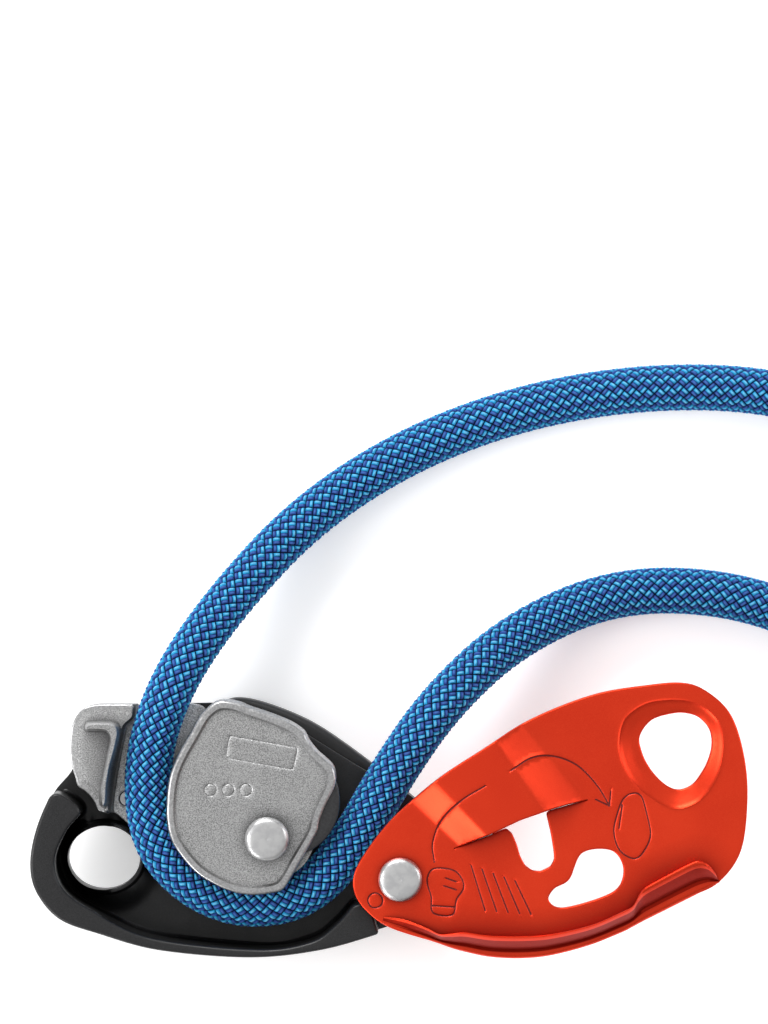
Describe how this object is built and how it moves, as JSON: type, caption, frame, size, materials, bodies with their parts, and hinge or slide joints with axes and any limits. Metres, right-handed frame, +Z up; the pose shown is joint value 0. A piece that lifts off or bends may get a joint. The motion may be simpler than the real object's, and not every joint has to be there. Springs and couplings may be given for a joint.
{
  "type": "belay device",
  "caption": "Assisted-braking climbing belay device with a sprung cam, folding release handle and swing-open side plate, with a rope threaded round the cam.",
  "frame": {"origin": "centre of the opened device's footprint, on the surface that it lies on (rope left out)", "axes": "+X along the opened device from the fixed plate's nose to the moving plate's tip, +Y towards the side where the rope leaves, +Z up through the device, parallel to the axles"},
  "size_m": [0.1933, 0.1252, 0.038],
  "materials": {
    "anodised_black": "forged aluminium, black anodised, satin",
    "anodised_red": "pressed aluminium sheet, vermilion anodised, satin",
    "cast_steel": "investment-cast stainless steel, bead blasted",
    "rivet_steel": "turned stainless steel, satin",
    "small_steel": "plain stainless steel",
    "bronze": "sintered bronze",
    "black_plastic": "glass-filled nylon, black, fine moulded grain",
    "nylon": "natural nylon",
    "rope_sheath": "braided polyamide sheath, cyan-blue and violet-blue yarns",
    "rope_end": "heat-sealed rope end in a dark shrink tube"
  },
  "bodies": {
    "fixed_plate": {"fixed_side_plate": "anodised_black", "friction_plate": "cast_steel", "friction_plate_rivets": "small_steel", "cam_axle": "rivet_steel", "cam_front_washer": "small_steel", "cam_rear_washer": "small_steel", "handle_retaining_ring": "small_steel", "plate_pivot_rivet": "rivet_steel", "pivot_spacer": "small_steel", "pivot_washer": "nylon", "pivot_spring_washer": "small_steel", "rope_climber_strand": "rope_sheath", "rope_bight": "rope_sheath", "rope_brake_strand": "rope_sheath", "rope_end_climber": "rope_end", "rope_end_brake": "rope_end"},
    "cam": {"cam": "cast_steel", "cam_bush": "bronze", "cam_spring": "small_steel"},
    "handle": {"handle": "black_plastic", "handle_drive_pin": "small_steel", "handle_washer": "small_steel", "handle_spring": "small_steel"},
    "moving_plate": {"moving_side_plate": "anodised_red"}
  },
  "joints": [
    {"name": "plate_hinge", "type": "hinge", "parent": "fixed_plate", "child": "moving_plate", "pos_m": [0.0028, -0.0122, 0.032], "axis": [0, 0, 1], "range_deg": [0, 152]},
    {"name": "cam_pivot", "type": "hinge", "parent": "fixed_plate", "child": "cam", "pos_m": [-0.0251, -0.0037, 0.0227], "axis": [0, 0, 1], "range_deg": [-22, 0], "stiffness_Nm_per_rad": 0.05, "springref_deg": 20.05, "deforming": ["cam_spring"]},
    {"name": "handle_pivot", "type": "hinge", "parent": "cam", "child": "handle", "pos_m": [-0.0251, -0.0037, 0.0045], "axis": [0, 0, 1], "range_deg": [0, 150], "stiffness_Nm_per_rad": 0.01, "springref_deg": -28.65, "deforming": ["handle_spring"]}
  ]
}
